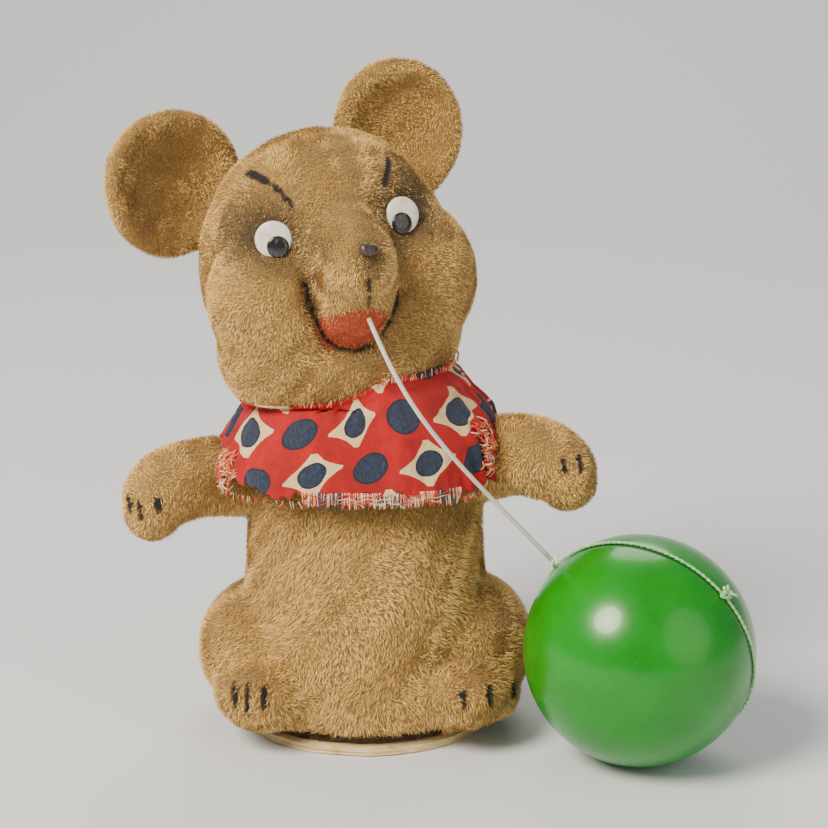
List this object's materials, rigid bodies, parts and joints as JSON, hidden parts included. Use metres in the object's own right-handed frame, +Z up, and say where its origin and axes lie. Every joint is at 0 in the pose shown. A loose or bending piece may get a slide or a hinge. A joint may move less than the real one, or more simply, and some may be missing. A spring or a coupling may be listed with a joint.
{
  "type": "clockwork mouse",
  "caption": "Sitting flocked clockwork mouse on a flat board base, with a turning head, cloth vest, winding key at the back and a ball on a nylon line from its mouth.",
  "frame": {"origin": "centre of the base disc's underside, on the floor", "axes": "+Z up, the mouse faces -Y, +X is on the right of someone looking at its face"},
  "size_m": [0.1252, 0.0964, 0.1324],
  "materials": {
    "cream_board": "pressed board, cream paper face",
    "tan_flock": "short tan plush flock over a moulded shell",
    "printed_cotton": "printed cotton, frayed at the hem",
    "white_nylon": "turned nylon",
    "plug_wood": "turned wood",
    "clear_line": "translucent line",
    "eye_white": "matt white disc",
    "pupil_black": "black disc",
    "nose_brown": "dark brown bead",
    "green_ball": "polished green plastic",
    "pale_thread": "fine thread",
    "spring_steel": "blued spring steel strip",
    "toy_brass": "stamped brass",
    "mill_steel": "plated steel sheet"
  },
  "bodies": {
    "body": {"base_disc": "cream_board", "motor_rivet_1": "mill_steel", "motor_rivet_2": "mill_steel", "torso_front_shell": "tan_flock", "torso_back_shell": "tan_flock", "vest_cloth": "printed_cotton", "neck_bush": "white_nylon", "key_escutcheon": "toy_brass", "motor_plate_front": "mill_steel", "motor_plate_back": "mill_steel", "motor_pillar_1": "toy_brass", "motor_pillar_2": "toy_brass", "motor_pillar_3": "toy_brass", "motor_pillar_4": "toy_brass", "mainspring": "spring_steel"},
    "key": {"winding_key": "toy_brass", "winding_arbor": "mill_steel", "ratchet_wheel": "mill_steel"},
    "great": {"great_wheel": "toy_brass", "click_stud": "mill_steel"},
    "click": {"click": "toy_brass"},
    "second": {"second_arbor": "mill_steel", "second_wheel": "toy_brass"},
    "crank": {"crank_arbor": "mill_steel", "third_wheel": "toy_brass", "crank_disc": "toy_brass", "crank_pin": "mill_steel"},
    "governor": {"governor_arbor": "mill_steel", "governor_fly": "toy_brass"},
    "head": {"head_front_shell": "tan_flock", "head_back_shell": "tan_flock", "eye_white_left": "eye_white", "eye_white_right": "eye_white", "pupil_left": "pupil_black", "pupil_right": "pupil_black", "nose_bead": "nose_brown", "line_stop_knot": "clear_line", "head_plug": "plug_wood", "neck_shaft": "mill_steel", "head_yoke": "mill_steel", "nylon_line": "clear_line"},
    "ball": {"ball_half_near": "green_ball", "ball_half_far": "green_ball", "ball_thread": "pale_thread", "ball_knot": "pale_thread"}
  },
  "joints": [
    {"name": "head_turn", "type": "hinge", "parent": "body", "child": "head", "pos_m": [-0.0025, 0, 0.063], "axis": [0, 0, 1], "range_deg": [-36, 0]},
    {"name": "ball_swing", "type": "hinge", "parent": "head", "child": "ball", "pos_m": [0.00133, -0.02617, 0.08769], "axis": [0, 0, 1], "range_deg": [-75, 0]},
    {"name": "key_wind", "type": "hinge", "parent": "body", "child": "key", "pos_m": [0, 0, 0.02], "axis": [0, 1, 0], "continuous": true},
    {"name": "train_run", "type": "hinge", "parent": "body", "child": "great", "pos_m": [0, 0, 0.02], "axis": [0, 1, 0], "continuous": true},
    {"name": "click_drop", "type": "hinge", "parent": "great", "child": "click", "pos_m": [-0.00714, 0, 0.0174], "axis": [0, 1, 0], "range_deg": [-10, 0]},
    {"name": "second_spin", "type": "hinge", "parent": "body", "child": "second", "pos_m": [-0.01025, 0, 0.03095], "axis": [0, 1, 0], "continuous": true},
    {"name": "crank_spin", "type": "hinge", "parent": "body", "child": "crank", "pos_m": [-0.0025, 0, 0.042], "axis": [0, 1, 0], "continuous": true},
    {"name": "governor_spin", "type": "hinge", "parent": "body", "child": "governor", "pos_m": [0.00669, 0, 0.03429], "axis": [0, 1, 0], "continuous": true}
  ],
  "couplings": [
    {"joint": "second_spin", "follows": "train_run", "ratio": -4},
    {"joint": "crank_spin", "follows": "train_run", "ratio": 14},
    {"joint": "governor_spin", "follows": "train_run", "ratio": -42}
  ]
}
